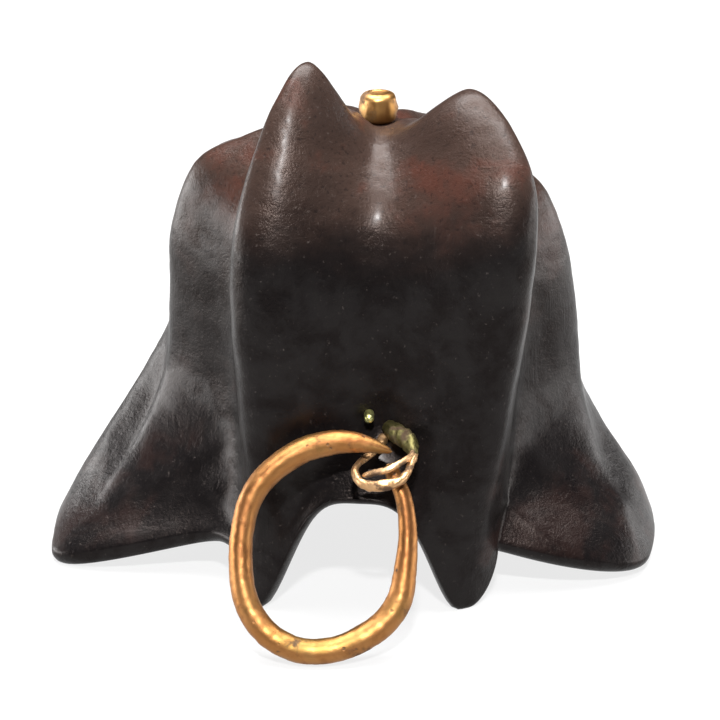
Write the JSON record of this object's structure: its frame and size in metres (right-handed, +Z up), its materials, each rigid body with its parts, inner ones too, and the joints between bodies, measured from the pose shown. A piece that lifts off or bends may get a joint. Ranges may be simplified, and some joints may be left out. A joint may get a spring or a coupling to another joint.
{
  "type": "lobed bell with hanging ring",
  "caption": "Small cast bronze lobed bell on flared feet, with a brass crown knob, a hung clapper inside and a hand-bent brass ring in a wall eye.",
  "frame": {"origin": "the point where the axis of the crown bolt meets the plane of the feet", "axes": "+Z up along the crown bolt, -Y towards the front with the ring, +X to the right wing when the front is looked at"},
  "size_m": [0.0722, 0.0605, 0.0603],
  "materials": {
    "bronze": "dark brown patinated bronze, satin",
    "knob_brass": "worn polished brass",
    "fitting_brass": "dulled brass",
    "bob_bronze": "dark cast bronze",
    "eye_brass": "pitted brass wire",
    "key_brass": "greenish brass",
    "ring_brass": "orange gold brass wire"
  },
  "bodies": {
    "bell": {"bell_body": "bronze", "crown_knob": "knob_brass", "crown_bolt": "fitting_brass", "crown_washer": "fitting_brass", "ring_eye": "eye_brass", "eye_burr": "fitting_brass", "eye_key": "key_brass"},
    "link": {"clapper_link": "fitting_brass"},
    "clapper": {"clapper_rod": "fitting_brass", "clapper_bob": "bob_bronze", "bob_washer": "fitting_brass"},
    "ring": {"hanging_ring": "ring_brass"}
  },
  "joints": [
    {"name": "link_swing", "type": "hinge", "parent": "bell", "child": "link", "pos_m": [0, 0, 0.04168], "axis": [0, 1, 0], "range_deg": [-17, 17]},
    {"name": "clapper_swing", "type": "hinge", "parent": "link", "child": "clapper", "pos_m": [0, 0, 0.03784], "axis": [1, 0, 0], "range_deg": [-15, 15]},
    {"name": "ring_swing", "type": "hinge", "parent": "bell", "child": "ring", "pos_m": [0.0006, -0.0238, 0.0185], "axis": [1, 0, 0], "range_deg": [-11, 24]}
  ]
}
